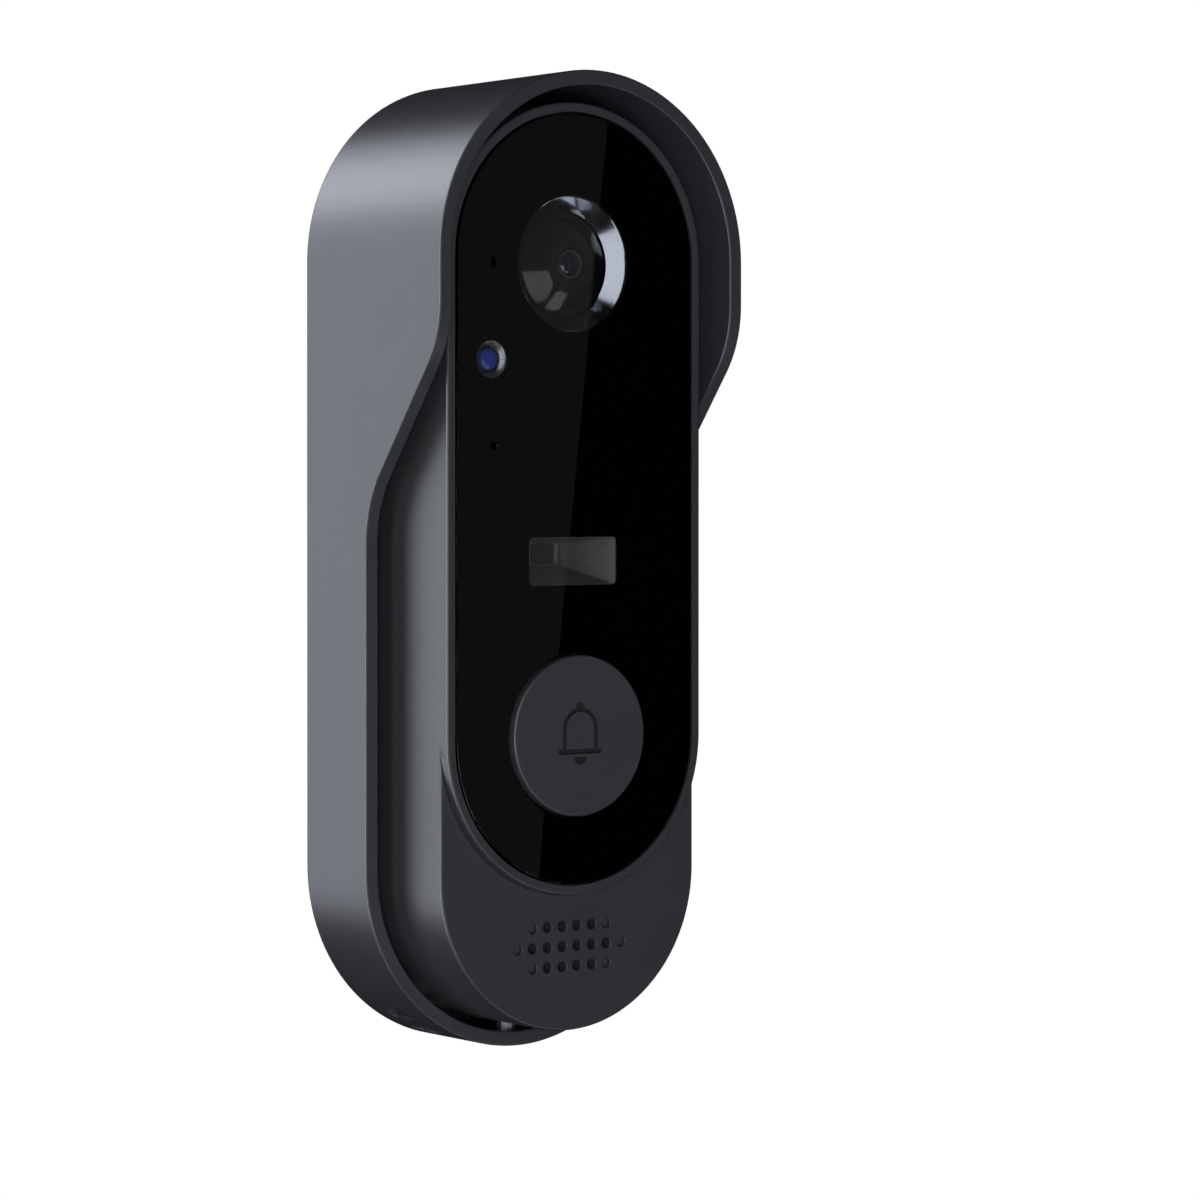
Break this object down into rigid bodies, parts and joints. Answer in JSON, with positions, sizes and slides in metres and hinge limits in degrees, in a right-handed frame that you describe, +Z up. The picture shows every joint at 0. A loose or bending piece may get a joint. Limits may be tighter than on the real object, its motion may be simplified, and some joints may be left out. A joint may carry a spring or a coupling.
{
  "type": "video doorbell",
  "caption": "Slim upright battery video doorbell with a round push button, camera, motion sensor and speaker holes, standing in a deep rain hood for a wall.",
  "frame": {"origin": "on the wall plane, at the middle of the flat back of the hood, midway between its round ends", "axes": "+X across the width, +Y back into the wall, +Z up; the camera, glass and button face -Y"},
  "size_m": [0.0548, 0.0355, 0.1444],
  "materials": {
    "shell_plastic": "fine satin charcoal moulding with a smooth low sheen",
    "inner_plastic": "plain black moulding",
    "front_glass": "smoked, polished",
    "polished_ring": "polished",
    "plated_steel": "zinc plated",
    "brass": "turned",
    "lens_black": "gloss black",
    "rubber": "matt",
    "circuit_board": "solder mask over glass fibre",
    "sensor_blue": "tinted, polished",
    "clear_plastic": "clear moulded",
    "cell_wrap": "heat-shrink film",
    "speaker_paper": "pressed paper and mesh",
    "copper_film": "flexible film"
  },
  "bodies": {
    "housing": {"rain_hood": "shell_plastic", "wall_bracket": "plated_steel", "bracket_screw_1": "plated_steel", "bracket_screw_2": "plated_steel", "security_screw": "plated_steel", "security_insert": "brass", "rear_cover": "inner_plastic", "housing_seal": "rubber", "front_housing": "shell_plastic", "housing_screw_1": "plated_steel", "housing_screw_2": "plated_steel", "housing_screw_3": "plated_steel", "housing_screw_4": "plated_steel", "front_glass": "front_glass", "glass_tape": "rubber", "camera_ring": "polished_ring", "camera_dome": "lens_black", "lens_barrel": "lens_black", "lens_element": "clear_plastic", "lens_holder": "inner_plastic", "image_sensor": "lens_black", "camera_board": "circuit_board", "camera_flex": "copper_film", "ir_led_board": "circuit_board", "ir_led_1": "clear_plastic", "ir_led_2": "clear_plastic", "light_sensor_ring": "polished_ring", "light_sensor_guide": "sensor_blue", "status_light_guide": "clear_plastic", "microphone": "plated_steel", "microphone_boot": "rubber", "pir_shroud": "inner_plastic", "pir_sensor": "plated_steel", "pir_window": "lens_black", "button_seal": "rubber", "button_carrier": "inner_plastic", "tact_switch": "lens_black", "main_board": "circuit_board", "board_screw_1": "plated_steel", "board_screw_2": "plated_steel", "board_screw_3": "plated_steel", "board_screw_4": "plated_steel", "processor": "lens_black", "radio_module": "plated_steel", "antenna": "copper_film", "speaker_mesh": "speaker_paper", "speaker_gasket": "rubber", "speaker_frame": "plated_steel", "battery_pack": "cell_wrap", "battery_connector": "clear_plastic", "charge_board": "circuit_board", "usb_socket": "plated_steel", "reset_switch": "lens_black"},
    "button": {"button_cap": "shell_plastic"},
    "plunger": {"switch_plunger": "inner_plastic"},
    "reset": {"reset_button": "rubber"},
    "ir_filter": {"ir_filter_blade": "clear_plastic"},
    "charge_cover": {"usb_cover": "rubber"},
    "cone": {"speaker_cone": "speaker_paper"}
  },
  "joints": [
    {"name": "button_press", "type": "slide", "parent": "housing", "child": "button", "axis": [0, 1, 0], "range_m": [0, 0.0005], "stiffness_N_per_m": 400},
    {"name": "plunger_press", "type": "slide", "parent": "housing", "child": "plunger", "axis": [0, 1, 0], "range_m": [0, 0.00025]},
    {"name": "reset_press", "type": "slide", "parent": "housing", "child": "reset", "axis": [0, -1, 0], "range_m": [0, 0.0004], "stiffness_N_per_m": 200},
    {"name": "ir_filter_slide", "type": "slide", "parent": "housing", "child": "ir_filter", "axis": [1, 0, 0], "range_m": [0, 0.005]},
    {"name": "charge_cover_hinge", "type": "hinge", "parent": "housing", "child": "charge_cover", "pos_m": [0, -0.0064, -0.0183], "axis": [1, 0, 0], "range_deg": [0, 110]},
    {"name": "cone_travel", "type": "slide", "parent": "housing", "child": "cone", "axis": [0, -1, 0], "range_m": [-0.0004, 0.0004], "stiffness_N_per_m": 400}
  ],
  "couplings": [
    {"joint": "plunger_press", "follows": "button_press", "ratio": 0.5}
  ]
}
